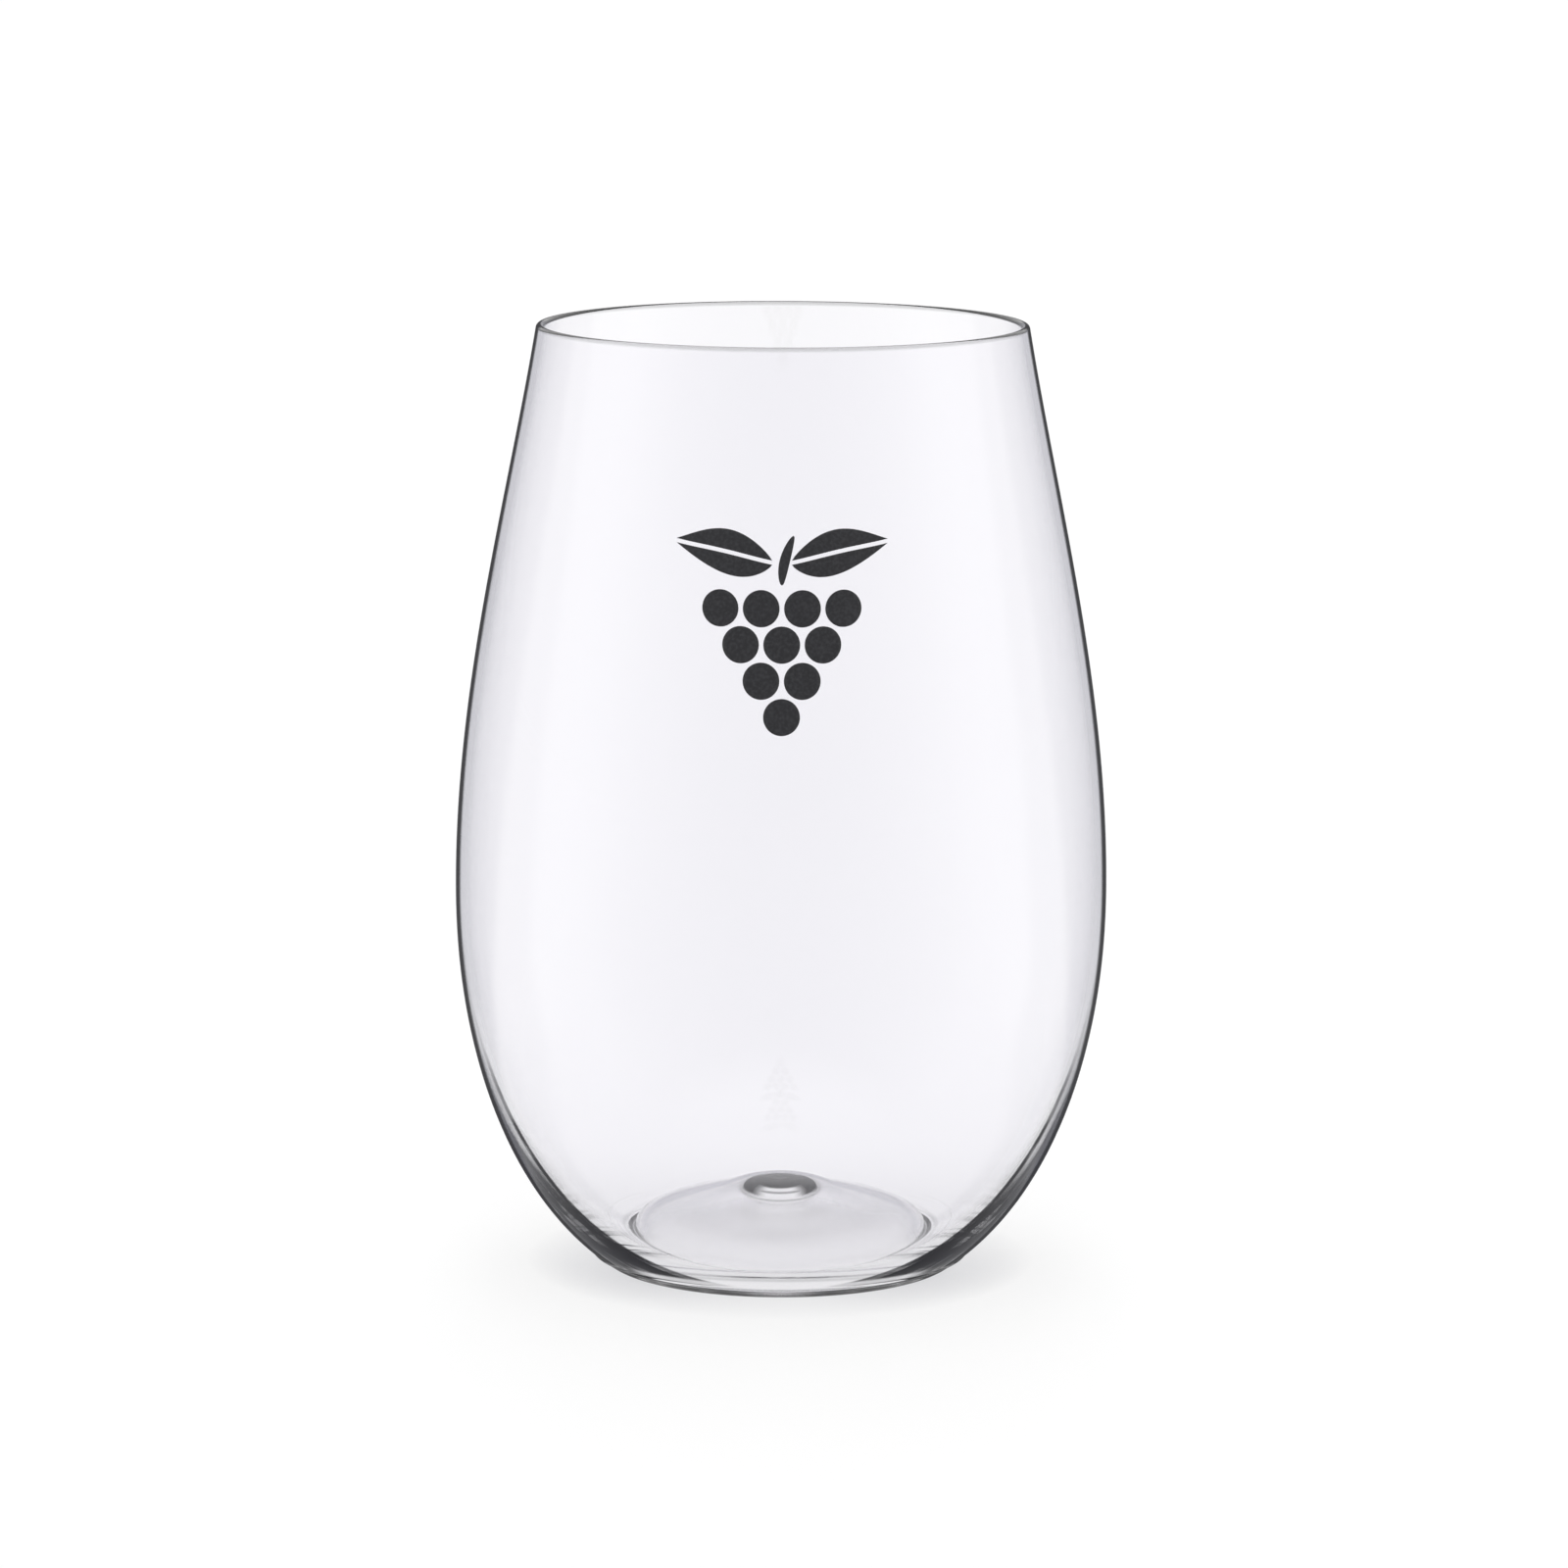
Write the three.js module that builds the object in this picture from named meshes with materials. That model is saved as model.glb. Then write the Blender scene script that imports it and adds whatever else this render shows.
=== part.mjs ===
// A stemless wine tumbler: one clear plastic moulding with a domed base, and grapes printed on its front.
// Millimetres, +Z up. The origin is the centre of the ring it stands on, and the print faces -Y.
import * as THREE from 'three';
import { mergeVertices } from 'three/addons/utils/BufferGeometryUtils.js';

const degrees = THREE.MathUtils.degToRad;

// The outside of the wall: its widest ring, its mouth and the ring it stands on
const HEIGHT = 122;
const BELLY_RADIUS = 42;
const BELLY_HEIGHT = 49;
const RIM_RADIUS = 31.5;
const RIM_LEAN = degrees(9.5);
const FOOT_RADIUS = 22.5;
const FOOT_SLOPE = degrees(34);

// How far the wall's curves hold their direction at each end
const FOOT_PULL = 15.2;
const LOWER_BELLY_PULL = 21.4;
const UPPER_BELLY_PULL = 26.6;
const RIM_PULL = 22;

// Thickness of the wall, square to its outside
const RIM_WALL = 1.1;
const BELLY_WALL = 1.4;
const HEEL_WALL = 3.1;

// The base: a flat ring to stand on, a punt under a dome, and a pocket for the gate under a small hat
const FOOT_RING_WIDTH = 4.8;
const TROUGH_WIDTH = 1;
const TROUGH_DROP = 1.1;
const PUNT_RISE = 5.8;
const PUNT_SLOPE = degrees(80);
const PUNT_PULL = 3.6;
const DOME_WALL = 2.3;
const DOME_SLOPE = degrees(84);
const DOME_PULL = 3.4;
const CROWN_SLOPE = degrees(18);
const CROWN_PULL = 8.5;
const POCKET_RADIUS = 4.3;
const POCKET_DEPTH = 2.2;
const POCKET_CORNER = 1.6;
const POCKET_CAP = 1.8;
const HAT_WALL = 1.3;
const HAT_FLARE = 2.9;

// The printed motif: a bunch of grapes, two leaves each side split by a vein, and a stem
const PRINT_DROP = 38;
const FILM_THICKNESS = 0.15;
const FILM_CLEARANCE = 0.1;
const PRINT_GAP = 0.55;
const GRAPE_RADIUS = 2.25;
const GRAPE_ROWS = [4, 3, 2, 1];
const LEAF_LENGTH = 12;
const LEAF_HALF_WIDTH = 2.5;
const LEAF_LIFT = 2.4;
const LEAF_ARCH = 1.5;
const VEIN_WIDTH = 0.5;
const STEM_LENGTH = 6;
const STEM_WIDTH = 1.3;
const STEM_LEAN = 1.4;

// How finely the round and curved stretches are cut
const SIDES = 56;
const WALL_STEPS = 10;
const LIP_STEPS = 4;
const BASE_STEPS = 6;
const CORNER_STEPS = 3;
const FILM_STEPS = 12;
const FILM_LANES = 2;

const clearPlastic = new THREE.MeshStandardMaterial({
  color: 0xf2f1f6, roughness: 0.05, metalness: 0, transparent: true, opacity: 0.25,
});
const blackInk = new THREE.MeshStandardMaterial({ color: 0x242426, roughness: 0.55, metalness: 0 });

const point = (radius, level) => new THREE.Vector2(radius, level);

// A point at a distance from another, in a direction that rises by an angle
const reach = (from, distance, angle) => point(
  from.x + distance * Math.cos(angle),
  from.y + distance * Math.sin(angle),
);

// A curve that leaves its two ends along the lines to their handles
const sweep = (start, startHandle, endHandle, end) => (
  new THREE.CubicBezierCurve(start, startHandle, endHandle, end)
);

// The lip is a half round, so the wall's outside stops short of the full height by what the round adds
const rimLevel = HEIGHT - RIM_WALL / 2 * (1 - Math.sin(RIM_LEAN));
const foot = point(FOOT_RADIUS, 0);
const belly = point(BELLY_RADIUS, BELLY_HEIGHT);
const rim = point(RIM_RADIUS, rimLevel);
const lowerWall = sweep(
  foot,
  reach(foot, FOOT_PULL, FOOT_SLOPE),
  point(BELLY_RADIUS, BELLY_HEIGHT - LOWER_BELLY_PULL),
  belly,
);
const upperWall = sweep(
  belly,
  point(BELLY_RADIUS, BELLY_HEIGHT + UPPER_BELLY_PULL),
  reach(rim, -RIM_PULL, Math.PI / 2 + RIM_LEAN),
  rim,
);

// The wall thins quickly above the heel, then evenly from the belly to the rim
const lowerThickness = (t) => BELLY_WALL + (HEEL_WALL - BELLY_WALL) * (1 - t) ** 2;
const upperThickness = (t) => BELLY_WALL + (RIM_WALL - BELLY_WALL) * t;

// The direction square to a wall curve, out of the plastic
function outward(curve, t) {
  const along = curve.getTangent(t);
  return point(along.y, -along.x);
}

const insidePoint = (curve, thickness, t) => (
  curve.getPoint(t).addScaledVector(outward(curve, t), -thickness(t))
);

function stepsOf(count) {
  return Array.from({ length: count + 1 }, (_, index) => index / count);
}

// Half round from the outside of the rim over to the inside
function lipPoints() {
  const side = outward(upperWall, 1);
  const along = upperWall.getTangent(1);
  const centre = rim.clone().addScaledVector(side, -RIM_WALL / 2);
  return stepsOf(LIP_STEPS).slice(1, -1).map((share) => {
    const turn = Math.PI * share;
    return centre.clone()
      .addScaledVector(side, RIM_WALL / 2 * Math.cos(turn))
      .addScaledVector(along, RIM_WALL / 2 * Math.sin(turn));
  });
}

// Underside: the roof and rounded corner of the gate's pocket, then the punt down to the standing ring
function undersidePoints() {
  const roof = PUNT_RISE + POCKET_DEPTH;
  const cornerCentre = point(POCKET_RADIUS - POCKET_CORNER, roof - POCKET_CORNER);
  const corner = stepsOf(CORNER_STEPS).map((share) => (
    reach(cornerCentre, POCKET_CORNER, Math.PI / 2 * (1 - share))
  ));
  const pocketEdge = point(POCKET_RADIUS, PUNT_RISE);
  const puntEdge = point(FOOT_RADIUS - FOOT_RING_WIDTH, 0);
  const punt = sweep(
    pocketEdge,
    reach(pocketEdge, CROWN_PULL, -CROWN_SLOPE),
    reach(puntEdge, PUNT_PULL, Math.PI - PUNT_SLOPE),
    puntEdge,
  );
  return [point(0, roof), ...corner, ...punt.getPoints(BASE_STEPS)];
}

// Floor inside: a trough that falls to the dome, the dome, and the hat over the pocket
function floorPoints() {
  const heel = insidePoint(lowerWall, lowerThickness, 0);
  const crease = point(heel.x - TROUGH_WIDTH, heel.y - TROUGH_DROP);
  const hatFoot = point(POCKET_RADIUS + HAT_WALL + HAT_FLARE, PUNT_RISE + DOME_WALL);
  const hatTop = point(0, PUNT_RISE + POCKET_DEPTH + POCKET_CAP);
  const dome = sweep(
    crease,
    reach(crease, DOME_PULL, Math.PI - DOME_SLOPE),
    reach(hatFoot, CROWN_PULL, -CROWN_SLOPE),
    hatFoot,
  );
  const hat = sweep(
    hatFoot,
    reach(hatFoot, HAT_FLARE, Math.PI - CROWN_SLOPE),
    point(POCKET_RADIUS + HAT_WALL, hatTop.y),
    hatTop,
  );
  return [...dome.getPoints(BASE_STEPS), ...hat.getPoints(BASE_STEPS).slice(1)];
}

// The whole section, from the axis under the base, up the outside, over the lip and down the inside
function tumblerSection() {
  const steps = stepsOf(WALL_STEPS);
  const outside = [...lowerWall.getPoints(WALL_STEPS), ...upperWall.getPoints(WALL_STEPS).slice(1)];
  const inside = [
    ...steps.map((t) => insidePoint(lowerWall, lowerThickness, t)),
    ...steps.slice(1).map((t) => insidePoint(upperWall, upperThickness, t)),
  ].reverse();
  return [...undersidePoints(), ...outside, ...lipPoints(), ...inside, ...floorPoints()];
}

function tumblerBody() {
  const geometry = new THREE.LatheGeometry(tumblerSection(), SIDES);
  geometry.rotateX(Math.PI / 2);
  return geometry;
}

// The outside of the wall at a height, found by halving the stretch of curve that holds it
function wallAt(level) {
  const curve = level < BELLY_HEIGHT ? lowerWall : upperWall;
  let low = 0;
  let high = 1;
  for (let round = 0; round < 30; round += 1) {
    const middle = (low + high) / 2;
    if (curve.getPoint(middle).y < level) low = middle;
    else high = middle;
  }
  return { place: curve.getPoint(low), side: outward(curve, low) };
}

// A place on the print, across and up from its centre, wrapped on the wall and lifted off it
function onWall(across, up, lift) {
  const { place, side } = wallAt(HEIGHT - PRINT_DROP + up);
  const angle = across / place.x;
  const radius = place.x + side.x * lift;
  const level = place.y + side.y * lift;
  return new THREE.Vector3(radius * Math.sin(angle), -radius * Math.cos(angle), level);
}

// A thin closed film of ink. edges(share) gives its two edges at a share of its length, which meet at both tips.
function inkFilm(edges) {
  const cells = stepsOf(FILM_STEPS);
  const lanes = stepsOf(FILM_LANES);
  const skin = (lift) => cells.map((share) => lanes.map((lane) => {
    const [left, right] = edges(share);
    const spot = left.clone().lerp(right, lane);
    return onWall(spot.x, spot.y, lift);
  }));
  const back = skin(FILM_CLEARANCE);
  const front = skin(FILM_CLEARANCE + FILM_THICKNESS);
  const corners = [];
  const quad = (a, b, c, d) => corners.push(a, b, c, a, c, d);
  for (let cell = 0; cell < FILM_STEPS; cell += 1) {
    for (let lane = 0; lane < FILM_LANES; lane += 1) {
      quad(front[cell][lane], front[cell][lane + 1], front[cell + 1][lane + 1], front[cell + 1][lane]);
      quad(back[cell][lane], back[cell + 1][lane], back[cell + 1][lane + 1], back[cell][lane + 1]);
    }
    quad(back[cell][0], front[cell][0], front[cell + 1][0], back[cell + 1][0]);
    quad(front[cell][FILM_LANES], back[cell][FILM_LANES], back[cell + 1][FILM_LANES], front[cell + 1][FILM_LANES]);
  }
  return closedGeometry(corners);
}

// Joins loose triangles at their shared corners and drops those that a tip leaves with no area
function closedGeometry(corners) {
  const loose = new THREE.BufferGeometry().setFromPoints(corners);
  const joined = mergeVertices(loose, 1e-4);
  const index = joined.getIndex().array;
  const kept = [];
  for (let first = 0; first < index.length; first += 3) {
    const [a, b, c] = index.subarray(first, first + 3);
    if (a !== b && b !== c && c !== a) kept.push(a, b, c);
  }
  joined.setIndex(kept);
  joined.computeVertexNormals();
  return joined;
}

// A round grape: half the width of a circle at each height
const grapeEdges = (across, up) => (share) => {
  const climb = -GRAPE_RADIUS * Math.cos(Math.PI * share);
  const half = GRAPE_RADIUS * Math.sin(Math.PI * share);
  return [point(across - half, up + climb), point(across + half, up + climb)];
};

const grapePitch = 2 * GRAPE_RADIUS + PRINT_GAP;
const rowPitch = grapePitch * Math.sin(Math.PI / 3);
const bunchTop = (GRAPE_ROWS.length - 1) * rowPitch / 2 + GRAPE_RADIUS;

// Half a leaf, above or below its vein. hand is -1 on the left and 1 on the right.
const leafEdges = (hand, blade) => (share) => {
  const start = STEM_WIDTH / 2 + PRINT_GAP;
  const spine = bunchTop + PRINT_GAP + LEAF_HALF_WIDTH + VEIN_WIDTH / 2;
  const across = start + LEAF_LENGTH * share;
  const up = spine + LEAF_LIFT * share ** 2 + LEAF_ARCH * Math.sin(Math.PI * share) / 2;
  const vein = up + blade * VEIN_WIDTH / 2;
  const edge = vein + blade * LEAF_HALF_WIDTH * Math.sin(Math.PI * share ** 0.8);
  const pair = [point(hand * across, vein), point(hand * across, edge)];
  return hand * blade > 0 ? pair.reverse() : pair;
};

// The stem: it leans to the right as it rises and swells in its middle
const stemEdges = (share) => {
  const up = bunchTop + PRINT_GAP + STEM_LENGTH * share;
  const middle = STEM_LEAN * share ** 2;
  const half = STEM_WIDTH / 2 * Math.sin(Math.PI * share) ** 0.5;
  return [point(middle - half, up), point(middle + half, up)];
};

function piece(name, geometry, material) {
  const mesh = new THREE.Mesh(geometry, material);
  mesh.name = name;
  return mesh;
}

function printedGrapes() {
  const grapes = new THREE.Group();
  GRAPE_ROWS.forEach((count, row) => {
    const up = ((GRAPE_ROWS.length - 1) / 2 - row) * rowPitch;
    for (let column = 0; column < count; column += 1) {
      const across = (column - (count - 1) / 2) * grapePitch;
      const name = `print_grape_${row + 1}_${column + 1}`;
      grapes.add(piece(name, inkFilm(grapeEdges(across, up)), blackInk));
    }
  });
  return grapes;
}

function printedLeaves() {
  const leaves = new THREE.Group();
  [['left', -1], ['right', 1]].forEach(([side, hand]) => {
    [['upper', 1], ['lower', -1]].forEach(([level, blade]) => {
      leaves.add(piece(`print_leaf_${side}_${level}`, inkFilm(leafEdges(hand, blade)), blackInk));
    });
  });
  return leaves;
}

const tumbler = new THREE.Group();
tumbler.add(piece('tumbler_body', tumblerBody(), clearPlastic));
tumbler.add(printedGrapes());
tumbler.add(printedLeaves());
tumbler.add(piece('print_stem', inkFilm(stemEdges), blackInk));

export default tumbler;
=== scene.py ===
"""A clear plastic stemless tumbler with a printed bunch of grapes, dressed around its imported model."""

import math

import bpy
import numpy as np
from bpy.props import FloatProperty, FloatVectorProperty, IntProperty, PointerProperty
from mathutils import Matrix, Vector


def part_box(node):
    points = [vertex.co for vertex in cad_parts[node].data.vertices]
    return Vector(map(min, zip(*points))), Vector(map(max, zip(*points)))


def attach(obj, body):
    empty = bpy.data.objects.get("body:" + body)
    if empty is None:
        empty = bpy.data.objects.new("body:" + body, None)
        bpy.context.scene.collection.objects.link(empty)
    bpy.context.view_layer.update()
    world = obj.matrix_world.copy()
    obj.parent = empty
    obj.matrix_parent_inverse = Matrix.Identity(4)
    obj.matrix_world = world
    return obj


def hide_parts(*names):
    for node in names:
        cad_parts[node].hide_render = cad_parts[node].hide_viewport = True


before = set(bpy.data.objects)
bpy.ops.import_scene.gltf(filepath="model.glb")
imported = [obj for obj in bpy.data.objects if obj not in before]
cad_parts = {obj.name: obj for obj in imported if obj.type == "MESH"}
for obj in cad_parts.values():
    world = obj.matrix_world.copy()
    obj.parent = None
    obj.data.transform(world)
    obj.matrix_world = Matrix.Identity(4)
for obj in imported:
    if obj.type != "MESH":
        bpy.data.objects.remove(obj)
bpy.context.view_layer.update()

bl_info = {
    "name": "Stemless tumbler",
    "version": (1, 0, 0),
    "blender": (4, 5, 0),
    "location": "3D View > Sidebar > Tumbler",
    "description": "Builds a clear plastic stemless tumbler with a printed motif, and a white studio for it",
    "category": "Add Mesh",
}

MM = 0.001
BODY_NODE = "tumbler_body"
ROOT = "root"
PHOTO_SIDE = 1600
SENSOR_WIDTH = 36
LIGHT_BOUNCES = 24
BLACK = (0, 0, 0)
WHITE = (1, 1, 1)

# How finely the moulding's section and the films of ink are cut
CURVE_STEPS = 400
CORNER_STEPS = 40
LIP_STEPS = 60
PRINT_STEPS = 2000
SECTION_PITCH = 0.05 * MM
WALL_SPACING = 1.4 * MM
BASE_SPACING = 0.25 * MM
LIP_SPACING = 0.1 * MM
FILM_STEPS = 40
FILM_LANES = 10

# The base and the lip, which are cut finer, and where painted shade darkens the plastic along tight bends
BASE_TOP = 22 * MM
BASE_FADE = 6 * MM
LIP_HEIGHT = 3 * MM
LIP_FADE = 1 * MM
TIGHT_BEND = 0.25
POCKET_LINE = 0.3 * MM
LIP_LINE = 0.6 * MM
LIP_LINE_FADE = 0.3 * MM
LIP_LINE_SHADE = 0.5

# The printed motif and its ink
GRAPE_ROWS = (4, 3, 2, 1)
LEAF_FULLNESS = 0.8
MOTTLE_SCALE = 2600
MOTTLE_NOISE = (0.35, 0.75)
MOTTLE_LIGHTENS = 2.2
INK_ROUGHNESS = 0.42
MOTTLE_ROUGHENS = 0.2

# The plastic's masks of painted shade: they darken its colour and mix in a dark shader along its outline, in the
# heel's band, along tight bends and in the gate's pocket. A pair holds where a mask starts and where it is full. A
# cosine is 0 where the surface is seen edge on and 1 where it is seen head on.
OUTLINE_COSINES = (0.13, 0.185)
OUTLINE_SHADE = 0.85
BAND_CLIMB = 6.5
BAND_END = (0.432, 0.446)
BAND_LINE = (0.39, 0.415)
BAND_LINE_LEVELS = (20 * MM, 32 * MM)
BAND_LINE_FADE = 0.85
BAND_FILL_LEVELS = (10 * MM, 19 * MM)
BAND_TURN = (0.0, 0.3)
BAND_FRONT = 0.35
BAND_SHADE = 0.5
# A painted gleam: a lighter streak in the heel's band of painted shade, over the mould's seam
GLEAM_FOOT = (1.6 * MM, 2 * MM)
GLEAM_TOP = (2.3 * MM, 2.8 * MM)
GLEAM_COSINES = (0.2, 0.3)
GLEAM_STRENGTH = 0.8
# Streaks of painted shade along the heel's band
STREAK_SCALES = (14, 160)
STREAK_NOISE = (0.38, 0.52)
STREAK_FLOOR = 0.65
BEND_SHADE = 0.6
BROAD_WAVES = 0.03 * MM
BROAD_SCALE = 70
FINE_WAVES = 0.006 * MM
FINE_SCALE = 330
FINE_LEVELS = (4 * MM, 14 * MM)
UNDERSIDE_ROUGHNESS = 0.22
# Colour of the near-black shader that is mixed in as painted shade
SHADE_COLOUR = (0.02, 0.02, 0.022, 1)

# The gate's pocket's painted shade, in levels under its roof
POCKET_EDGE = (0.1 * MM, 0.4 * MM)
ROOF_LEVELS = (-0.2 * MM, -0.05 * MM)
ROOF_RADII = (0.8 * MM, 2.2 * MM)
ROOF_MIDDLE = 0.85
RING_FOOT = (-0.85 * MM, -0.65 * MM)
RING_TOP = (-0.55 * MM, -0.35 * MM)
RING_SHADE = 0.6
POCKET_SIDE_LEVELS = (-1.7 * MM, -1.2 * MM)
POCKET_SIDE_TURN = (0.25, 0.6)

# How bright the room is to mirrored light, by how far behind the cup it lies: -1 is in front and 1 behind
PANELS = (
    (-1.0, 0.45),
    (-0.7, 0.62),
    (-0.44, 0.8),
    (-0.16, 1.0),
    (0.36, 1.0),
    (0.45, 0.69),
    (0.6, 0.68),
    (0.78, 0.68),
    (0.9, 0.6),
    (1.0, 0.55),
)
CEILING_RISE = (0.45, 0.7)
BACKDROP_RISE = (0.05, 0.2)
BACKDROP_TURN = (0.0, 0.3)
DIM_CAST = (0, 0, 0.08)
MIRRORED_DEPTH = (0.0, 0.5)

# The floor, its shadow, and the painted contact shadow and painted reflections on it
FLOOR_HALF = 6.0
FLOOR_DROP = 0.1 * MM
FLOOR_MATT = 0.15
FLOOR_PAINTED_REFLECTION = 0.6
FLOOR_FAR = (45 * MM, 150 * MM)
FLOOR_FOOT = (22 * MM, 27 * MM)
# The painted contact shadow in the nook under the heel
NOOK_REACH = 7 * MM
NOOK_SAMPLES = 4
NOOK_ALL_ROUND = 0.1
NOOK_AHEAD = 0.35

# A long lamp overhead that runs from front to back, tilted a little backwards
LAMP_TILT = math.radians(10)
LAMP_NARROWNESS = 30
LAMP_FALL = 4
LAMP_STRENGTH = 8.2
SKY_STRENGTH = 0.2

body_low, body_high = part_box(BODY_NODE)


def length(name, default, description):
    """A property that holds a length in metres."""
    return FloatProperty(name=name, description=description, default=default, unit="LENGTH", precision=5)


def angle(name, degrees, description):
    """A property that holds an angle, given here in degrees."""
    return FloatProperty(name=name, description=description, default=math.radians(degrees), subtype="ANGLE")


def share(name, default, description):
    """A property that holds a plain number."""
    return FloatProperty(name=name, description=description, default=default, precision=4)


def colour(name, default, description):
    """A property that holds a linear colour."""
    return FloatVectorProperty(
        name=name, description=description, default=default, subtype="COLOR", size=3, min=0, max=1
    )


class MouldingSizes(bpy.types.PropertyGroup):
    """Sizes of the clear moulding."""

    height: length("Height", body_high.z - body_low.z, "From the table to the top of the lip")
    belly_radius: length("Belly radius", (body_high.x - body_low.x) / 2, "Outside, at the widest ring")
    belly_height: length("Belly height", 49 * MM, "Level of the widest ring")
    rim_radius: length("Rim radius", 31.5 * MM, "Outside, at the mouth")
    rim_lean: angle("Rim lean", 9.5, "How far the wall leans in at the mouth")
    foot_radius: length("Foot radius", 22.5 * MM, "Outside of the ring it stands on")
    foot_slope: angle("Foot slope", 34, "Rise of the wall where it leaves the foot")
    foot_pull: length("Foot pull", 15.2 * MM, "How far the wall holds the foot's slope")
    lower_belly_pull: length("Lower belly pull", 21.4 * MM, "How far the wall stays upright below the belly")
    upper_belly_pull: length("Upper belly pull", 26.6 * MM, "How far the wall stays upright above the belly")
    rim_pull: length("Rim pull", 22 * MM, "How far the wall holds the rim's lean")
    rim_wall: length("Rim wall", 1.1 * MM, "Thickness at the rim")
    belly_wall: length("Belly wall", 1.4 * MM, "Thickness at the belly")
    heel_wall: length("Heel wall", 3.1 * MM, "Thickness at the heel")
    foot_ring_width: length("Foot ring width", 4.8 * MM, "Width of the flat ring it stands on")
    trough_width: length("Trough width", 1 * MM, "Floor between the wall and the dome")
    trough_drop: length("Trough drop", 1.1 * MM, "How far that floor falls towards the dome")
    punt_rise: length("Punt rise", 5.8 * MM, "Level of the underside at the pocket")
    punt_slope: angle("Punt slope", 80, "Rise of the underside at the standing ring")
    punt_pull: length("Punt pull", 3.6 * MM, "How far the underside holds that slope")
    dome_wall: length("Dome wall", 2.3 * MM, "Height of the hat's foot over the pocket's edge")
    dome_slope: angle("Dome slope", 84, "Rise of the dome at the trough")
    dome_pull: length("Dome pull", 3.4 * MM, "How far the dome holds that slope")
    crown_slope: angle("Crown slope", 18, "Rise of the dome and the punt near the axis")
    crown_pull: length("Crown pull", 8.5 * MM, "How far they hold that slope")
    pocket_radius: length("Pocket radius", 4.3 * MM, "Pocket under the base that holds the gate")
    pocket_depth: length("Pocket depth", 2.2 * MM, "Depth of the pocket over the punt")
    pocket_corner: length("Pocket corner", 1.6 * MM, "Round where the pocket's wall meets its roof")
    pocket_cap: length("Pocket cap", 1.8 * MM, "Plastic over the pocket")
    hat_wall: length("Hat wall", 1.3 * MM, "Plastic round the pocket")
    hat_flare: length("Hat flare", 2.9 * MM, "Width of the hollow round the hat")
    seam_level: length("Seam level", 1.3 * MM, "Level of the mould's seam round the heel")
    seam_width: length("Seam width", 0.25 * MM, "Half the width of that seam")
    seam_height: length("Seam height", 0.2 * MM, "How far that seam stands out")
    corner_ease: length("Corner ease", 0.35 * MM, "How far the base's corners are rounded")
    sides: IntProperty(name="Sides", description="Faces round the cup", default=160, min=16, max=512)


class PrintSizes(bpy.types.PropertyGroup):
    """Sizes of the printed motif."""

    drop: length("Drop", 38 * MM, "From the lip down to the middle of the bunch")
    thickness: length("Thickness", 0.1 * MM, "Thickness of the ink")
    clearance: length("Clearance", 0.1 * MM, "From the wall to the back of the ink")
    gap: length("Gap", 0.55 * MM, "Bare wall between islands of ink")
    grape_radius: length("Grape radius", 2.25 * MM, "Radius of a grape")
    leaf_length: length("Leaf length", 12 * MM, "From a leaf's base to its tip")
    leaf_half_width: length("Leaf half width", 2.5 * MM, "Widest part of half a leaf")
    leaf_lift: length("Leaf lift", 2.4 * MM, "How far the leaf's tip is above its base")
    leaf_arch: length("Leaf arch", 1.5 * MM, "How far the leaf bows upwards")
    vein_width: length("Vein width", 0.5 * MM, "Bare line down the middle of a leaf")
    stem_length: length("Stem length", 6 * MM, "From the bunch to the stem's tip")
    stem_width: length("Stem width", 1.3 * MM, "Widest part of the stem")
    stem_lean: length("Stem lean", 1.4 * MM, "How far the stem's tip is to the right")


class Finishes(bpy.types.PropertyGroup):
    """Colours and shine of the plastic and the ink."""

    plastic_cast: colour("Plastic cast", (0.985, 0.98, 1.0), "What one face of clear plastic lets through")
    plastic_ior: share("Plastic index", 1.53, "Refractive index of the plastic")
    plastic_depth_colour: colour("Depth colour", (0.2, 0.2, 0.2), "Colour that deep plastic turns")
    plastic_depth: share("Depth density", 8, "How fast deep plastic darkens, per metre")
    ink_colour: colour("Ink colour", (0.018, 0.018, 0.02), "Colour of the printed ink")


class StudioSizes(bpy.types.PropertyGroup):
    """Where the camera stands and how it looks."""

    camera_distance: length("Camera distance", 819.5 * MM, "From the cup's axis, along the table")
    camera_height: length("Camera height", 200.8 * MM, "Over the table")
    camera_pitch: angle("Camera pitch", 9.58, "How far the camera looks down")
    camera_roll: angle("Camera roll", 0.2, "How far the camera is turned about its view")
    camera_focus: share("Camera focus", 6577, "Focal length in pixels of the photograph's frame")
    axis_offset: share("Axis offset", -2.7, "Pixels from the middle of the frame to the cup's axis")


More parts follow.
